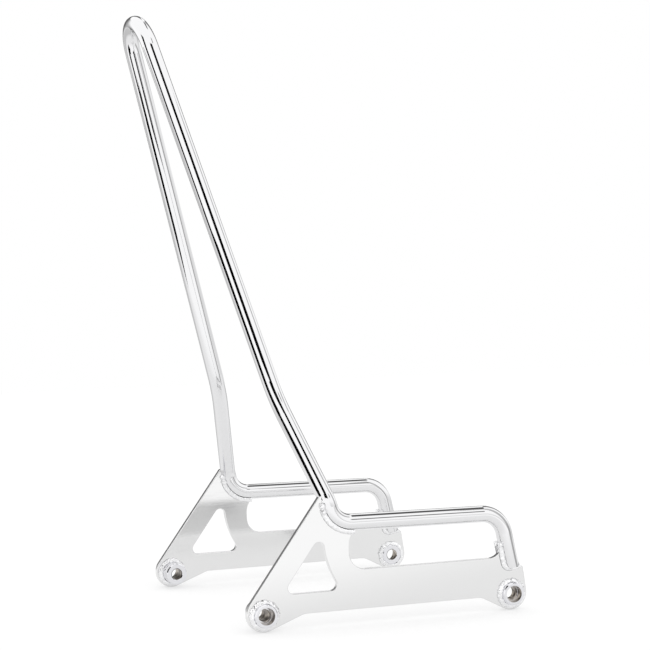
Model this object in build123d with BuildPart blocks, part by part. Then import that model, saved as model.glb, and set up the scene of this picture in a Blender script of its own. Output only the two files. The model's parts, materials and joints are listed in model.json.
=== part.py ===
from build123d import *
from math import acos, asin, atan2, cos, degrees, hypot, pi, radians, sin, tan
import os

# Sissy bar: one bent round bar, welded to two cut side plates that carry four bolt bungs.
# Millimetres. +X is forward, +Y is to the rider's left, +Z is up.
# The origin is on the ground, under the middle of the part as it stands on the plates' lobes.

# Bent bar, sized along its centre line
bar_diameter = 12.7
rail_corner_ahead = 57.5
rail_rear_height = 63.7
rail_front_height = 62.1
front_corner_behind = 7.0
leg_end_ahead = 1.8
leg_end_gap = 5.75
hoop_length = 397.9
riser_rake = 16.05
splay_angle = 31.9
riser_lean = 9.47
rail_bend_radius = 17.0
splay_bend_radius = 14.0
splay_straight = 0.9
kink_bend_radius = 75.0
front_bend_radius = 19.0
hairpin_radius = 24.0
crown_straight = 0.5

# Bolts and bungs
bolt_spacing = 200.8
bung_diameter = 17.5
bung_stand_out = 5.7
rear_bung_length = 25.0
front_bung_length = 13.5
bung_rim_chamfer = 0.7
bolt_hole_diameter = 9.0
bolt_mouth_chamfer = 0.5
counterbore_diameter = 12.7
counterbore_depth = 7.0
bung_clearance = 0.1

# Weld metal
weld_leg = 2.8
weld_crown = 0.7
leg_weld_turn = 4.5

# Side plates
plate_spacing = 238.0
plate_thickness = 4.76
plate_edge_radius = 0.6
bar_clearance = 0.05
lobe_land = 1.85
lobe_lift = 0.7
foot_drop = 1.6
rear_foot_run = 31.5
front_foot_run = 25.0
foot_radius = 12.0
tip_past_splay = 5.5
front_lip = 2.3
front_lip_drop = 2.2

# Slot under the rail and the triangular window
slot_base_height = 28.2
slot_start_ahead = 10.7
slot_rear_radius = 12.7
slot_lead_radius = 18.0
slot_front_radius = 9.5
slot_bite = 1.5
window_base_height = 13.8
window_top_height = 59.4
window_rear_strap = 17.3
window_front_setback = 6.4
window_front_bulge = 4.5
window_corner_radius = 4.5

# Sizes that follow from the ones above
bar_radius = bar_diameter / 2
bung_radius = bung_diameter / 2
rake = radians(riser_rake)
splay = radians(splay_angle)
lean = radians(riser_lean)
lobe_radius = bung_radius + weld_leg + lobe_land
leg_end_height = bung_radius + weld_leg + leg_end_gap + weld_leg
plate_half = plate_spacing / 2
face_offset = plate_thickness / 2
rear_bolt = (0.0, 0.0)
front_bolt = (bolt_spacing, 0.0)
rear_lobe = (0.0, lobe_lift)
front_lobe = (bolt_spacing, lobe_lift)
ahead = (1.0, 0.0)
upwards = (0.0, 1.0)


# Side view: places are forward of and above the rear bolts
def riser_place(along, behind=0.0):
    """A place along the riser from the rail's corner, moved to the riser's rear side."""
    return (
        rail_corner_ahead - along * sin(rake) - behind * cos(rake),
        rail_rear_height + along * cos(rake) - behind * sin(rake),
    )


def way(start, end):
    """The direction from one place to another."""
    length = hypot(end[0] - start[0], end[1] - start[1])
    return ((end[0] - start[0]) / length, (end[1] - start[1]) / length)


def moved(place, direction, distance):
    """A place moved along a direction."""
    return (place[0] + direction[0] * distance, place[1] + direction[1] * distance)


def crossing(place, direction, other_place, other_direction):
    """Where two lines cross."""
    gap = (other_place[0] - place[0], other_place[1] - place[1])
    turn = direction[0] * other_direction[1] - direction[1] * other_direction[0]
    run = (gap[0] * other_direction[1] - gap[1] * other_direction[0]) / turn
    return moved(place, direction, run)


def lobe_touch(lobe, place, swing):
    """Where a straight edge from an outside place touches the round of a lobe."""
    run = place[0] - lobe[0]
    rise = place[1] - lobe[1]
    angle = atan2(rise, run) + swing * acos(lobe_radius / hypot(run, rise))
    return (lobe[0] + lobe_radius * cos(angle), lobe[1] + lobe_radius * sin(angle))


# The bar's corners
rail_corner = riser_place(0)
front_corner = (bolt_spacing - front_corner_behind, rail_front_height)
leg_end = (bolt_spacing + leg_end_ahead, leg_end_height)
crown = riser_place(hoop_length)
rail_way = way(rail_corner, front_corner)
leg_way = way(front_corner, leg_end)
leg_front = (-leg_way[1], leg_way[0])
leg_back = (leg_way[1], -leg_way[0])

# The riser rises in the plate's plane, splays inwards, and leans inwards less above a kink
rail_turn = pi / 2 - rake + atan2(rail_way[1], rail_way[0])
rail_tangent = rail_bend_radius * tan(rail_turn / 2)
splay_start = rail_tangent + splay_bend_radius * tan(splay / 2) + splay_straight
crown_half = hairpin_radius * tan((pi / 2 - lean) / 2) + crown_straight / 2
kink_spread = plate_half - crown_half + splay_start * tan(splay) - hoop_length * tan(lean)
kink_along = kink_spread / (tan(splay) - tan(lean))
kink_half = crown_half + (hoop_length - kink_along) * tan(lean)

# The slot's corners: its ends run a little way in under the rail and the leg
slot_rear = rail_corner_ahead + slot_start_ahead
slot_floor = (slot_rear, slot_base_height)
slot_roof = crossing(slot_floor, upwards, rail_corner, rail_way)
slot_roof_radius = min(slot_lead_radius, slot_roof[1] - slot_base_height - slot_rear_radius - slot_bite)
lead_center = (slot_rear + slot_roof_radius, slot_roof[1] - slot_roof_radius)
lead_angle = asin(1 - (bar_radius - slot_bite) / slot_roof_radius)
lead_start = moved(lead_center, ahead, -slot_roof_radius)
lead_end = moved(lead_center, (-cos(lead_angle), sin(lead_angle)), slot_roof_radius)
rail_stop = crossing(lead_end, upwards, rail_corner, rail_way)
leg_side = moved(leg_end, leg_back, bar_radius - slot_bite)
slot_front_floor = crossing(slot_floor, ahead, leg_side, leg_way)
prong_height = slot_front_radius / tan(acos(leg_way[0]) / 2) + slot_bite
prong_top = moved(slot_front_floor, leg_way, -prong_height)
prong_on_bar = moved(prong_top, leg_front, bar_radius - slot_bite)

# The plate's outer corners
tip_along = splay_start + tip_past_splay
tip = riser_place(tip_along, bar_radius)
tip_on_bar = riser_place(tip_along)
leg_end_front = moved(leg_end, leg_front, bar_radius)
front_top = moved(moved(leg_end_front, leg_front, front_lip), leg_way, front_lip_drop)
rear_foot = (rear_foot_run, -foot_drop)
front_foot = (bolt_spacing - front_foot_run, -foot_drop)
rear_edge_end = lobe_touch(rear_lobe, tip, 1)
rear_foot_end = lobe_touch(rear_lobe, rear_foot, -1)
front_foot_end = lobe_touch(front_lobe, front_foot, 1)
front_edge_end = lobe_touch(front_lobe, front_top, -1)

# The window's corners: its rear side runs along the plate's rear edge
edge_way = way(rear_edge_end, tip)
strap_side = moved(tip, (edge_way[1], -edge_way[0]), window_rear_strap)
window_rear = crossing((0.0, window_base_height), ahead, strap_side, edge_way)
window_top = crossing((0.0, window_top_height), ahead, strap_side, edge_way)
window_front = (slot_rear - window_front_setback, window_base_height)

# The part stands on its lobes, with the origin under the middle of its length
rear_bolt_x = -(crown[0] - bar_radius + bolt_spacing + lobe_radius) / 2
bolt_height = lobe_radius - lobe_lift


def placed(place, half_width):
    """A place of the side view in the part's own frame, on the left side."""
    return (rear_bolt_x + place[0], half_width, bolt_height + place[1])


def save(piece, name):
    """Label a finished piece and write it."""
    piece.part.label = name
    export_step(piece.part, f"parts/{name}.step")


os.makedirs("parts", exist_ok=True)
left_pieces = {}
bolts = {"front": (front_bolt, front_bung_length), "rear": (rear_bolt, rear_bung_length)}
faces = {"outer": 1, "inner": -1}

# Bent bar, from the left leg's end over the hairpin to the right leg's end
left_route = [
    placed(leg_end, plate_half),
    placed(front_corner, plate_half),
    placed(rail_corner, plate_half),
    placed(riser_place(splay_start), plate_half),
    placed(riser_place(kink_along), kink_half),
    placed(crown, crown_half),
]
right_route = [(x, -y, z) for x, y, z in reversed(left_route)]
bend_radii = [front_bend_radius, rail_bend_radius, splay_bend_radius, kink_bend_radius, hairpin_radius]
with BuildPart() as hoop_bar:
    with BuildLine() as bar_line:
        FilletPolyline(*left_route, *right_route, radius=bend_radii + bend_radii[::-1])
    with BuildSketch(Plane(origin=bar_line.line @ 0, z_dir=bar_line.line % 0)):
        Circle(bar_radius)
    sweep()
save(hoop_bar, "hoop_bar")

# The room that the plates leave for the bar
with BuildPart() as bar_room:
    with BuildSketch(Plane(origin=bar_line.line @ 0, z_dir=bar_line.line % 0)):
        Circle(bar_radius + bar_clearance)
    sweep(path=bar_line.line)

# Side plate: its outline runs in to the bar's centre line, and the bar and bungs are then cut out of it
plate_plane = Plane(origin=placed(rear_bolt, plate_half), x_dir=(1, 0, 0), z_dir=(0, -1, 0))
with BuildPart() as plate:
    with BuildSketch(plate_plane):
        with BuildLine():
            FilletPolyline(tip_on_bar, rail_corner, rail_stop, radius=[rail_bend_radius])
            Line(rail_stop, lead_end)
            CenterArc(lead_center, slot_roof_radius, 180, -degrees(lead_angle))
            FilletPolyline(
                lead_start, slot_floor, slot_front_floor, prong_top,
                radius=[slot_rear_radius, slot_front_radius],
            )
            Polyline(prong_top, prong_on_bar, leg_end, leg_end_front, front_top, front_edge_end)
            ThreePointArc(front_edge_end, moved(front_lobe, upwards, -lobe_radius), front_foot_end)
            FilletPolyline(front_foot_end, front_foot, rear_foot, rear_foot_end, radius=[foot_radius] * 2)
            ThreePointArc(rear_foot_end, moved(rear_lobe, ahead, -lobe_radius), rear_edge_end)
            Polyline(rear_edge_end, tip, tip_on_bar)
        make_face()
    with BuildSketch(plate_plane, mode=Mode.PRIVATE) as window:
        with BuildLine():
            Polyline(window_top, window_rear, window_front)
            SagittaArc(window_front, window_top, window_front_bulge)
        make_face()
        fillet(window.vertices(), window_corner_radius)
    extrude(amount=face_offset, both=True)
    extrude(window.sketch, amount=plate_thickness, both=True, mode=Mode.SUBTRACT)
    fillet(plate.faces().filter_by(Axis.Y).edges(), plate_edge_radius)
    with BuildSketch(plate_plane):
        with Locations(rear_bolt, front_bolt):
            Circle(bung_radius + bung_clearance)
    extrude(amount=plate_thickness, both=True, mode=Mode.SUBTRACT)
    add(bar_room.part, mode=Mode.SUBTRACT)
left_pieces["side_plate"] = plate

# Bungs, bored for a bolt and counterbored for its head
for end_name, (bolt, bung_length) in bolts.items():
    mouth = placed(bolt, plate_half + face_offset + bung_stand_out)
    with BuildPart(Plane(origin=mouth, z_dir=(0, 1, 0))) as bung:
        Cylinder(bung_radius, bung_length, align=(Align.CENTER, Align.CENTER, Align.MAX))
        chamfer(bung.faces().filter_by(Axis.Y).edges(), bung_rim_chamfer)
        CounterBoreHole(bolt_hole_diameter / 2, counterbore_diameter / 2, counterbore_depth)
        inner_end = bung.faces().filter_by(Axis.Y).sort_by(Axis.Y)[0]
        chamfer(inner_end.edges().sort_by(SortBy.RADIUS)[0], bolt_mouth_chamfer)
    left_pieces[f"{end_name}_bung"] = bung

# Weld rings round the bungs, on both faces of the plate
for end_name, (bolt, bung_length) in bolts.items():
    for face_name, face in faces.items():
        seat = placed(bolt, plate_half + face * face_offset)
        with BuildPart() as ring:
            with BuildSketch(Plane(origin=seat, x_dir=(1, 0, 0), z_dir=(0, 0, face))):
                with BuildLine():
                    Polyline((bung_radius, weld_leg), (bung_radius, 0), (bung_radius + weld_leg, 0))
                    SagittaArc((bung_radius + weld_leg, 0), (bung_radius, weld_leg), -weld_crown)
                make_face()
            revolve(axis=Axis(seat, (0, 1, 0)))
        left_pieces[f"{end_name}_{face_name}_bung_weld"] = ring

# Weld beads along the outside of the rail's bend, shaped to the bar, on both faces of the plate
bend_route = [
    riser_place(rail_tangent + splay_straight),
    rail_corner,
    moved(rail_corner, rail_way, rail_tangent + weld_leg),
]
for face_name, face in faces.items():
    with BuildPart() as bead:
        with BuildLine() as bead_line:
            FilletPolyline(*[placed(place, plate_half) for place in bend_route], radius=[rail_bend_radius])
        riser_back = (-cos(rake), 0, -sin(rake))
        with BuildSketch(Plane(bead_line.line @ 0, x_dir=riser_back, z_dir=bead_line.line % 0)):
            with Locations((bar_radius, face * face_offset)):
                Circle(weld_leg)
            Rectangle(2 * (bar_radius + weld_leg), plate_thickness, mode=Mode.SUBTRACT)
            Circle(bar_radius, mode=Mode.SUBTRACT)
        sweep()
    left_pieces[f"{face_name}_bend_weld"] = bead

# Weld beads down the back of the leg and under its end, on both faces of the plate
leg_route = [
    moved(moved(prong_top, leg_back, slot_bite), leg_way, weld_leg),
    moved(leg_end, leg_back, bar_radius),
    leg_end_front,
]
for face_name, face in faces.items():
    half_width = plate_half + face * face_offset
    with BuildPart() as bead:
        with BuildLine() as bead_line:
            FilletPolyline(*[placed(place, half_width) for place in leg_route], radius=[leg_weld_turn])
        with BuildSketch(Plane(origin=bead_line.line @ 0, z_dir=bead_line.line % 0)):
            Circle(weld_leg)
        sweep()
        split(bisect_by=Plane(origin=bead_line.line @ 0, z_dir=(0, face, 0)), keep=Keep.TOP)
        add(hoop_bar.part, mode=Mode.SUBTRACT)
    left_pieces[f"{face_name}_leg_weld"] = bead

# The right side is the left side's mirror image
for name, piece in left_pieces.items():
    save(piece, f"left_{name}")
    with BuildPart() as twin:
        mirror(piece.part, about=Plane.XZ)
    save(twin, f"right_{name}")
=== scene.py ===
import bpy
import json
from math import radians
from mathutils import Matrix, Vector

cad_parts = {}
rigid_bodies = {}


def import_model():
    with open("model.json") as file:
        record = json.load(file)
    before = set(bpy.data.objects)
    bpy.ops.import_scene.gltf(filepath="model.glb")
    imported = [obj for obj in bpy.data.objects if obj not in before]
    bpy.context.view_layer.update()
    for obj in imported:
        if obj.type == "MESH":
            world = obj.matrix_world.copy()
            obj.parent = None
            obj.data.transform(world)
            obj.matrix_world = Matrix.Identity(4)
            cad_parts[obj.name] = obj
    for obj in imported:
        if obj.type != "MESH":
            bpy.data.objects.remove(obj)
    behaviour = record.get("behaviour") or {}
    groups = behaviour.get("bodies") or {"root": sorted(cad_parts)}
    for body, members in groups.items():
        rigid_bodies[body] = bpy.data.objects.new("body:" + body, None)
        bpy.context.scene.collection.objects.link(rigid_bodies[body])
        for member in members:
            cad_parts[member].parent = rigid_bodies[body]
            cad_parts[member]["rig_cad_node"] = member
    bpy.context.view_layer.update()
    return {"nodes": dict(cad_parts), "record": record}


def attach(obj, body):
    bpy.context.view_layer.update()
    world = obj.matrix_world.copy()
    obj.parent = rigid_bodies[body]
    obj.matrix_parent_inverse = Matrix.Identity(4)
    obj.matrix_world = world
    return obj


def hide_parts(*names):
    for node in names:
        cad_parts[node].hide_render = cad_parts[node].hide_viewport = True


# A chromed sissy bar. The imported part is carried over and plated, and its smooth weld beads become
# lumpy weld metal. Metres. +X is forward, +Y is to the rider's left, +Z is up.
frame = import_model()
scene = bpy.context.scene
scene.view_settings.view_transform = "Standard"

# Places of the bolts, and limits just clear of the bores' walls and of the counterbores' floors
bolt_middle = 0.02273
bolt_half_spacing = 0.1004
bolt_height = 0.0127
hole_limit = 0.0047
counterbore_limit = 0.0064
counterbore_floor_limit = 0.1203


# Colours and nodes
def linear(hex_colour):
    """An sRGB hex colour as linear values with alpha."""
    parts = [int(hex_colour[i:i + 2], 16) / 255 for i in (0, 2, 4)]
    return [c / 12.92 if c <= 0.04045 else ((c + 0.055) / 1.055) ** 2.4 for c in parts] + [1.0]


def add_node(tree, kind, settings=None, inputs=None):
    """Add a node, set its own settings, and fill or link its inputs."""
    node = tree.nodes.new(kind)
    for name, value in (settings or {}).items():
        setattr(node, name, value)
    for name, value in (inputs or {}).items():
        socket = node.inputs[name]
        if isinstance(value, bpy.types.NodeSocket):
            tree.links.new(value, socket)
        else:
            socket.default_value = value
    return node


def new_finish(name):
    """An empty material and its node tree."""
    finish = bpy.data.materials.new(name)
    finish.use_nodes = True
    finish.node_tree.nodes.clear()
    return finish, finish.node_tree


# Polished chrome on bent bar: bright and neutral, with a faint long ripple that the buffing wheel left,
# so that the lines reflected along the bar waver, and patches of thin haze from handling
def polished_bar():
    ripple_mm = 11
    ripple_depth = 0.000006
    haze_mm = 30
    finish, tree = new_finish("polished_bar_chrome")
    place = add_node(tree, "ShaderNodeTexCoord").outputs["Object"]
    ripple = add_node(tree, "ShaderNodeTexNoise", {}, {
        "Vector": place, "Scale": 1000 / ripple_mm, "Detail": 1.0})
    haze = add_node(tree, "ShaderNodeTexNoise", {}, {
        "Vector": place, "Scale": 1000 / haze_mm, "Detail": 4.0})
    dull = add_node(tree, "ShaderNodeMapRange", {}, {
        "Value": haze.outputs["Fac"], "From Min": 0.35, "From Max": 0.7, "To Min": 0.02, "To Max": 0.06})
    bump = add_node(tree, "ShaderNodeBump", {}, {
        "Height": ripple.outputs["Fac"], "Strength": 1.0, "Distance": ripple_depth})
    shader = add_node(tree, "ShaderNodeBsdfPrincipled", {}, {
        "Base Color": linear("E1E1E2"), "Metallic": 1.0, "Roughness": dull.outputs["Result"],
        "Normal": bump.outputs["Normal"]})
    add_node(tree, "ShaderNodeOutputMaterial", {}, {"Surface": shader.outputs["BSDF"]})
    return finish


# Polished chrome on flat plate: the belt's fine grain still shows along the plate as a slight blur,
# over a gentle unevenness that bends the reflections of the floor
def polished_plate():
    grain_mm = (25, 2.5, 0.625)
    uneven_mm = 35
    uneven_depth = 0.00002
    finish, tree = new_finish("polished_plate_chrome")
    place = add_node(tree, "ShaderNodeTexCoord").outputs["Object"]
    along = add_node(tree, "ShaderNodeMapping", {}, {
        "Vector": place, "Scale": [1000 / size for size in grain_mm]})
    grain = add_node(tree, "ShaderNodeTexNoise", {}, {
        "Vector": along.outputs["Vector"], "Scale": 1.0, "Detail": 3.0})
    uneven = add_node(tree, "ShaderNodeTexNoise", {}, {
        "Vector": place, "Scale": 1000 / uneven_mm, "Detail": 1.0})
    dull = add_node(tree, "ShaderNodeMapRange", {}, {
        "Value": grain.outputs["Fac"], "From Min": 0.3, "From Max": 0.7, "To Min": 0.05, "To Max": 0.12})
    bump = add_node(tree, "ShaderNodeBump", {}, {
        "Height": uneven.outputs["Fac"], "Strength": 1.0, "Distance": uneven_depth})
    shader = add_node(tree, "ShaderNodeBsdfPrincipled", {}, {
        "Base Color": linear("E2E2E2"), "Metallic": 1.0, "Roughness": dull.outputs["Result"],
        "Normal": bump.outputs["Normal"]})
    add_node(tree, "ShaderNodeOutputMaterial", {}, {"Surface": shader.outputs["BSDF"]})
    return finish


# Turned bungs: bright chrome outside with fine turning rings, and bores where the plating hardly
# reaches, so the walls inside are a dull, stained, brown-grey steel, with darker patches that are
# painted shade inside the bores
def turned_bung():
    stain_and_shade_mm = 5
    ring_spacing_mm = 0.45
    ring_depth = 0.000003
    full_turn = 6.283
    finish, tree = new_finish("turned_bung_chrome")
    place = add_node(tree, "ShaderNodeTexCoord").outputs["Object"]
    split = add_node(tree, "ShaderNodeSeparateXYZ", {}, {"Vector": place})
    from_middle = add_node(tree, "ShaderNodeMath", {"operation": "SUBTRACT"}, {
        0: split.outputs["X"], 1: bolt_middle})
    reach = add_node(tree, "ShaderNodeMath", {"operation": "ABSOLUTE"}, {0: from_middle.outputs[0]})
    run = add_node(tree, "ShaderNodeMath", {"operation": "SUBTRACT"}, {
        0: reach.outputs[0], 1: bolt_half_spacing})
    rise = add_node(tree, "ShaderNodeMath", {"operation": "SUBTRACT"}, {
        0: split.outputs["Z"], 1: bolt_height})
    spoke = add_node(tree, "ShaderNodeCombineXYZ", {}, {"X": run.outputs[0], "Z": rise.outputs[0]})
    length = add_node(tree, "ShaderNodeVectorMath", {"operation": "LENGTH"}, {0: spoke.outputs["Vector"]})
    radius = length.outputs["Value"]
    out = add_node(tree, "ShaderNodeMath", {"operation": "ABSOLUTE"}, {0: split.outputs["Y"]})
    in_hole = add_node(tree, "ShaderNodeMath", {"operation": "LESS_THAN"}, {0: radius, 1: hole_limit})
    in_mouth = add_node(tree, "ShaderNodeMath", {"operation": "LESS_THAN"}, {
        0: radius, 1: counterbore_limit})
    past_floor = add_node(tree, "ShaderNodeMath", {"operation": "GREATER_THAN"}, {
        0: out.outputs[0], 1: counterbore_floor_limit})
    in_counterbore = add_node(tree, "ShaderNodeMath", {"operation": "MULTIPLY"}, {
        0: in_mouth.outputs[0], 1: past_floor.outputs[0]})
    inside = add_node(tree, "ShaderNodeMath", {"operation": "MAXIMUM"}, {
        0: in_hole.outputs[0], 1: in_counterbore.outputs[0]})
    # Noise patches in the bores from dark to light brown-grey: real stains, with the dark end painted in as
    # the bores' shade
    stain_and_shade = add_node(tree, "ShaderNodeTexNoise", {}, {
        "Vector": place, "Scale": 1000 / stain_and_shade_mm, "Detail": 3.0})
    stain_and_shade_patch = add_node(tree, "ShaderNodeMapRange", {}, {
        "Value": stain_and_shade.outputs["Fac"], "From Min": 0.38, "From Max": 0.62})
    bore = add_node(tree, "ShaderNodeMixRGB", {}, {
        "Fac": stain_and_shade_patch.outputs["Result"], "Color1": linear("3E352E"), "Color2": linear("B4AB9F")})
    colour = add_node(tree, "ShaderNodeMixRGB", {}, {
        "Fac": inside.outputs[0], "Color1": linear("E0E0E3"), "Color2": bore.outputs["Color"]})
    dull = add_node(tree, "ShaderNodeMapRange", {}, {
        "Value": inside.outputs[0], "To Min": 0.06, "To Max": 0.28})
    phase = add_node(tree, "ShaderNodeMath", {"operation": "MULTIPLY"}, {
        0: radius, 1: 1000 * full_turn / ring_spacing_mm})
    rings = add_node(tree, "ShaderNodeMath", {"operation": "SINE"}, {0: phase.outputs[0]})
    bump = add_node(tree, "ShaderNodeBump", {}, {
        "Height": rings.outputs[0], "Strength": 1.0, "Distance": ring_depth})
    shader = add_node(tree, "ShaderNodeBsdfPrincipled", {}, {
        "Base Color": colour.outputs["Color"], "Metallic": 1.0, "Roughness": dull.outputs["Result"],
        "Normal": bump.outputs["Normal"]})
    add_node(tree, "ShaderNodeOutputMaterial", {}, {"Surface": shader.outputs["BSDF"]})
    return finish


# Plated weld metal: chrome over the puddle's small ripples. It is slightly dull, most of all in the
# pits, so it mirrors no lines and looks whiter than the bar
def plated_weld():
    ripple_mm = 0.9
    ripple_depth = 0.00003
    finish, tree = new_finish("plated_weld_chrome")
    place = add_node(tree, "ShaderNodeTexCoord").outputs["Object"]
    ripple = add_node(tree, "ShaderNodeTexNoise", {}, {
        "Vector": place, "Scale": 1000 / ripple_mm, "Detail": 2.0})
    bump = add_node(tree, "ShaderNodeBump", {}, {
        "Height": ripple.outputs["Fac"], "Strength": 1.0, "Distance": ripple_depth})
    dull = add_node(tree, "ShaderNodeMapRange", {}, {
        "Value": ripple.outputs["Fac"], "From Min": 0.35, "From Max": 0.65, "To Min": 0.30, "To Max": 0.12})
    shader = add_node(tree, "ShaderNodeBsdfPrincipled", {}, {
        "Base Color": linear("EEEEEF"), "Metallic": 1.0, "Roughness": dull.outputs["Result"],
        "Normal": bump.outputs["Normal"]})
    add_node(tree, "ShaderNodeOutputMaterial", {}, {"Surface": shader.outputs["BSDF"]})
    return finish


finishes = {
    "bar_chrome": polished_bar(),
    "plate_chrome": polished_plate(),
    "bung_chrome": turned_bung(),
    "weld_chrome": plated_weld(),
}
for subpart in frame["record"]["subparts"]:
    piece = frame["nodes"][subpart["node"]]
    piece.data.materials.clear()
    piece.data.materials.append(finishes[subpart["material_slot"]])

# Weld metal: each smooth bead of the part is worked into the lumps and pits of a hand weld
puddles = bpy.data.textures.new("weld_puddles", "VORONOI")
puddles.noise_scale = 0.0031
pits = bpy.data.textures.new("weld_pits", "CLOUDS")
pits.noise_scale = 0.0017


def remesh_finely(weld):
    """Small even faces all over the selected weld, as one skin."""
    fine = weld.modifiers.new("fine", "REMESH")
    fine.mode = "VOXEL"
    fine.voxel_size = 0.00028
    bpy.ops.object.modifier_apply(modifier="fine")


def middle_below_top(weld, depth):
    """The middle of the weld's section at a depth below its top."""
    half_slice = 0.0006
    places = [corner.co for corner in weld.data.vertices]
    top = max(place.z for place in places)
    near = [place for place in places if abs(top - depth - place.z) < half_slice]
    return sum(near, Vector()) / len(near)


def lumpy_weld(bead_name, lump_height, proud_share, pit_depth, melt_steps, drops):
    """A bead's own shape with drops of metal at its top, remeshed, raised into lumps and melted smooth.

    The proud share is how much of a lump's height stands above the bead's own face, and below nought
    the lumps stay under it. A drop has its place, as a share of the way from the upper section of the
    bead's top to the lower one, and its radius.
    """
    bpy.ops.object.select_all(action="DESELECT")
    bead = frame["nodes"][bead_name]
    bead.select_set(True)
    bpy.context.view_layer.objects.active = bead
    bpy.ops.object.duplicate()
    weld = bpy.context.object
    weld.name = bead_name + "_lumps"
    del weld["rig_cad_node"]
    bpy.ops.object.mode_set(mode="EDIT")
    bpy.ops.mesh.select_all(action="SELECT")
    bpy.ops.mesh.remove_doubles(threshold=0.000001)
    bpy.ops.object.mode_set(mode="OBJECT")
    remesh_finely(weld)
    upper = middle_below_top(weld, depth=0.0006)
    lower = middle_below_top(weld, depth=0.0046)
    for share, size in drops:
        middle = upper.lerp(lower, share)
        bpy.ops.object.select_all(action="DESELECT")
        bpy.ops.mesh.primitive_uv_sphere_add(segments=24, ring_count=12, radius=size, location=middle)
        bpy.ops.object.transform_apply(location=True, rotation=True, scale=True)
        weld.select_set(True)
        bpy.context.view_layer.objects.active = weld
        bpy.ops.object.join()
    remesh_finely(weld)
    lumps = weld.modifiers.new("lumps", "DISPLACE")
    lumps.texture = puddles
    lumps.texture_coords = "LOCAL"
    lumps.strength = -lump_height
    lumps.mid_level = proud_share
    rough = weld.modifiers.new("rough", "DISPLACE")
    rough.texture = pits
    rough.texture_coords = "LOCAL"
    rough.strength = pit_depth
    melted = weld.modifiers.new("melted", "SMOOTH")
    melted.factor = 0.5
    melted.iterations = melt_steps
    for step in ("lumps", "rough", "melted"):
        bpy.ops.object.modifier_apply(modifier=step)
    bpy.ops.object.shade_smooth()
    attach(weld, "root")
    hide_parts(bead_name)


for bead_name in frame["nodes"]:
    if bead_name.endswith("bung_weld"):
        lumpy_weld(
            bead_name, lump_height=0.0012, proud_share=0.75, pit_depth=0.0010, melt_steps=3, drops=[])
    elif bead_name.endswith("bend_weld"):
        lumpy_weld(
            bead_name, lump_height=0.0004, proud_share=-0.50, pit_depth=0.0005, melt_steps=6,
            drops=[(-0.7, 0.0027), (0.35, 0.0026)])
    elif bead_name.endswith("leg_weld"):
        lumpy_weld(
            bead_name, lump_height=0.0004, proud_share=-0.50, pit_depth=0.0005, melt_steps=6,
            drops=[(-0.1, 0.0025)])


# Floor: plain white paper. Half of its white is its own, for the camera and the chrome, so the shadow
# stays light. For the chrome the glow is painted light: brighter to the front left, with painted shade
# at the back, as under a studio's lamps
def white_floor():
    own_white = 0.50
    # Painted light at the front left and painted shade at the back, in the glow that only the chrome sees
    painted_front_light = 0.70
    back_shade = 0.36
    front_left = (-0.6, -1.0, 0.0)
    finish, tree = new_finish("white_studio_floor")
    place = add_node(tree, "ShaderNodeTexCoord").outputs["Object"]
    split = add_node(tree, "ShaderNodeSeparateXYZ", {}, {"Vector": place})
    out = add_node(tree, "ShaderNodeVectorMath", {"operation": "DOT_PRODUCT"}, {0: place, 1: front_left})
    front = add_node(tree, "ShaderNodeMapRange", {"interpolation_type": "SMOOTHSTEP"}, {
        "Value": out.outputs["Value"], "From Min": 0.15, "From Max": 0.42,
        "To Min": own_white, "To Max": painted_front_light})
    back = add_node(tree, "ShaderNodeMapRange", {"interpolation_type": "SMOOTHSTEP"}, {
        "Value": split.outputs["Y"], "From Min": 0.20, "From Max": 0.60,
        "To Min": 0.0, "To Max": back_shade})
    # Painted light and shade in the floor's glow, for glossy rays only
    painted_lamplight = add_node(tree, "ShaderNodeMath", {"operation": "SUBTRACT"}, {
        0: front.outputs["Result"], 1: back.outputs["Result"]})
    light = add_node(tree, "ShaderNodeLightPath")
    shine = add_node(tree, "ShaderNodeMix", {}, {
        0: light.outputs["Is Glossy Ray"], 2: own_white, 3: painted_lamplight.outputs[0]})
    seen = add_node(tree, "ShaderNodeMath", {"operation": "MAXIMUM"}, {
        0: light.outputs["Is Camera Ray"], 1: light.outputs["Is Glossy Ray"]})
    lift = add_node(tree, "ShaderNodeMath", {"operation": "MULTIPLY"}, {
        0: seen.outputs[0], 1: shine.outputs[0]})
    paper = add_node(tree, "ShaderNodeBsdfDiffuse", {}, {"Color": linear("C2C2C2")})
    glow = add_node(tree, "ShaderNodeEmission", {}, {
        "Color": linear("FFFFFF"), "Strength": lift.outputs[0]})
    both = add_node(tree, "ShaderNodeAddShader", {}, {0: paper.outputs[0], 1: glow.outputs[0]})
    add_node(tree, "ShaderNodeOutputMaterial", {}, {"Surface": both.outputs[0]})
    return finish


bpy.ops.object.select_all(action="DESELECT")
bpy.ops.mesh.primitive_plane_add(size=6.0, location=(0, 0, 0))
floor = bpy.context.object
floor.name = "studio_floor"
floor.data.materials.append(white_floor())


# Flags: black cloth cards near the part, as in a light tent, that draw the dark lines in the chrome.
# The one on the right is a thin net that takes only half of the light
def flag_cloth(name, cover):
    finish, tree = new_finish(name)
    cloth = add_node(tree, "ShaderNodeBsdfDiffuse", {}, {"Color": linear("0A0A0A")})
    holes = add_node(tree, "ShaderNodeBsdfTransparent")
    weave = add_node(tree, "ShaderNodeMixShader", {}, {
        0: cover, 1: holes.outputs[0], 2: cloth.outputs[0]})
    add_node(tree, "ShaderNodeOutputMaterial", {}, {"Surface": weave.outputs[0]})
    return finish


felt = flag_cloth("black_flag_felt", cover=1.0)
net = flag_cloth("black_flag_net", cover=0.5)


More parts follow.
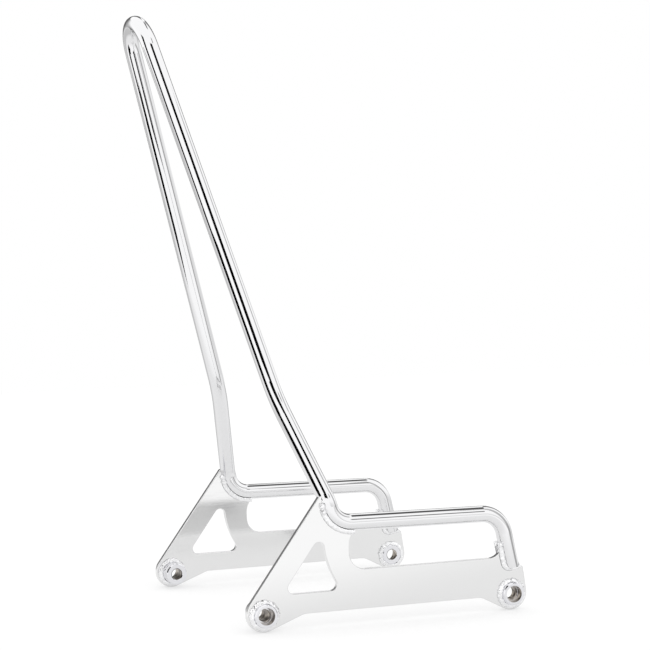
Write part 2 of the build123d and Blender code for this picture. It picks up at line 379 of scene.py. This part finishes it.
def flag(name, cloth, middle, turn, width, height, top_share):
    """An upright card that only the chrome sees. Its top edge is a share of its width."""
    bpy.ops.object.select_all(action="DESELECT")
    bpy.ops.mesh.primitive_plane_add(size=1.0, location=middle, rotation=(radians(90), 0, turn))
    card = bpy.context.object
    card.name = name
    card.scale = (width, height, 1)
    bpy.ops.object.transform_apply(location=True, rotation=True, scale=True)
    for corner in card.data.vertices:
        if corner.co.z > middle[2]:
            corner.co.x = middle[0] + (corner.co.x - middle[0]) * top_share
            corner.co.y = middle[1] + (corner.co.y - middle[1]) * top_share
    card.data.materials.append(cloth)
    card.visible_camera = False
    card.visible_diffuse = False
    card.visible_transmission = False
    card.visible_shadow = False


flag(
    "camera_flag", felt, middle=(-0.138, -0.35, 0.406), turn=0.0,
    width=0.20, height=0.408, top_share=0.75)
flag(
    "left_flag", felt, middle=(-0.40, -0.055, 0.37), turn=radians(90),
    width=0.125, height=0.34, top_share=0.80)
flag(
    "left_low_flag", felt, middle=(-0.40, -0.085, 0.155), turn=radians(90),
    width=0.24, height=0.19, top_share=0.90)
flag(
    "right_net", net, middle=(0.36, -0.22, 0.33), turn=radians(90),
    width=0.17, height=0.66, top_share=1.0)

# Studio: a white dome. The chrome also sees a dark back wall with a lamp in it, and two dark gaps, one
# overhead and one towards the camera. The rails run along X, so all that they mirror lies in one band
# of X, and the lamp and the gaps are kept to it. The roll goes from the camera's side, over the top,
# to the back
world = bpy.data.worlds.new("white_studio")
scene.world = world
world.use_nodes = True
sky = world.node_tree
sky.nodes.clear()
ray = add_node(sky, "ShaderNodeTexCoord").outputs["Generated"]
way = add_node(sky, "ShaderNodeSeparateXYZ", {}, {"Vector": ray})
forward = way.outputs["X"]
up = way.outputs["Z"]
near_side = add_node(sky, "ShaderNodeMath", {"operation": "MULTIPLY"}, {0: way.outputs["Y"], 1: -1.0})
turn_over = add_node(sky, "ShaderNodeMath", {"operation": "ARCTAN2"}, {0: up, 1: near_side.outputs[0]})
roll = turn_over.outputs[0]


def between(value, low, high, soft):
    """One between two limits, and nought outside them, with soft edges."""
    rise = add_node(sky, "ShaderNodeMapRange", {"interpolation_type": "SMOOTHSTEP"}, {
        "Value": value, "From Min": low - soft, "From Max": low + soft, "To Min": 0.0, "To Max": 1.0})
    fall = add_node(sky, "ShaderNodeMapRange", {"interpolation_type": "SMOOTHSTEP"}, {
        "Value": value, "From Min": high - soft, "From Max": high + soft, "To Min": 1.0, "To Max": 0.0})
    both = add_node(sky, "ShaderNodeMath", {"operation": "MULTIPLY"}, {
        0: rise.outputs[0], 1: fall.outputs[0]})
    return both.outputs[0]


def gap(level, mask, depth):
    """A level of light with a gap taken out of it."""
    cut = add_node(sky, "ShaderNodeMath", {"operation": "MULTIPLY_ADD"}, {0: mask, 1: -depth, 2: 1.0})
    left = add_node(sky, "ShaderNodeMath", {"operation": "MULTIPLY"}, {0: level, 1: cut.outputs[0]})
    return left.outputs[0]


# The dome's own light, less bright low down at the front of the part
low_light = add_node(sky, "ShaderNodeMapRange", {"interpolation_type": "SMOOTHSTEP"}, {
    "Value": forward, "From Min": -0.25, "From Max": 0.35, "To Min": 1.28, "To Max": 0.90})
dome = add_node(sky, "ShaderNodeMapRange", {"interpolation_type": "SMOOTHSTEP"}, {
    "Value": up, "From Min": 0.0, "From Max": 0.30,
    "To Min": low_light.outputs["Result"], "To Max": 1.25})

# The back wall, its foot higher towards the front, and the lamp in it
wall_way = (0.298, 0.923, 0.248)
behind = add_node(sky, "ShaderNodeVectorMath", {"operation": "DOT_PRODUCT"}, {0: ray, 1: wall_way})
wall_spread = add_node(sky, "ShaderNodeMapRange", {"interpolation_type": "SMOOTHSTEP"}, {
    "Value": behind.outputs["Value"], "From Min": 0.62, "From Max": 0.90, "To Min": 0.0, "To Max": 1.0})
wall_foot = add_node(sky, "ShaderNodeMapRange", {"interpolation_type": "SMOOTHSTEP"}, {
    "Value": forward, "From Min": 0.02, "From Max": 0.28, "To Min": -0.14, "To Max": 0.17})
above_foot = add_node(sky, "ShaderNodeMath", {"operation": "SUBTRACT"}, {
    0: up, 1: wall_foot.outputs["Result"]})
wall = add_node(sky, "ShaderNodeMath", {"operation": "MULTIPLY"}, {
    0: wall_spread.outputs["Result"],
    1: between(above_foot.outputs[0], low=0.01, high=0.65, soft=0.045)})
lamp = add_node(sky, "ShaderNodeMath", {"operation": "MULTIPLY"}, {
    0: between(forward, low=0.33, high=0.46, soft=0.02),
    1: between(roll, low=radians(112), high=radians(152), soft=radians(5))})
lit_wall = gap(wall.outputs[0], lamp.outputs[0], depth=1.0)

# The two gaps
overhead_gap = add_node(sky, "ShaderNodeMath", {"operation": "MULTIPLY"}, {
    0: between(forward, low=0.31, high=0.46, soft=0.02),
    1: between(roll, low=radians(82), high=radians(116), soft=radians(5))})
near_gap = add_node(sky, "ShaderNodeMath", {"operation": "MULTIPLY"}, {
    0: between(forward, low=0.33, high=0.46, soft=0.02),
    1: between(roll, low=radians(35), high=radians(48), soft=radians(3))})

level = gap(dome.outputs["Result"], lit_wall, depth=0.88)
level = gap(level, overhead_gap.outputs[0], depth=0.92)
level = gap(level, near_gap.outputs[0], depth=0.85)
light = add_node(sky, "ShaderNodeLightPath")
seen = add_node(sky, "ShaderNodeMixRGB", {}, {
    "Fac": light.outputs["Is Glossy Ray"], "Color1": linear("FFFFFF"), "Color2": level})
backdrop = add_node(sky, "ShaderNodeBackground", {}, {"Color": seen.outputs["Color"], "Strength": 1.0})
add_node(sky, "ShaderNodeOutputWorld", {}, {"Surface": backdrop.outputs[0]})

# Camera at the photo's place
bpy.ops.object.camera_add(
    location=(-0.538594, -1.466886, 0.26247),
    rotation=(radians(88.4694), radians(1.4477), radians(-20.9532)))
camera = bpy.context.object
camera.data.lens = 107.9
camera.data.sensor_width = 36.0
scene.camera = camera
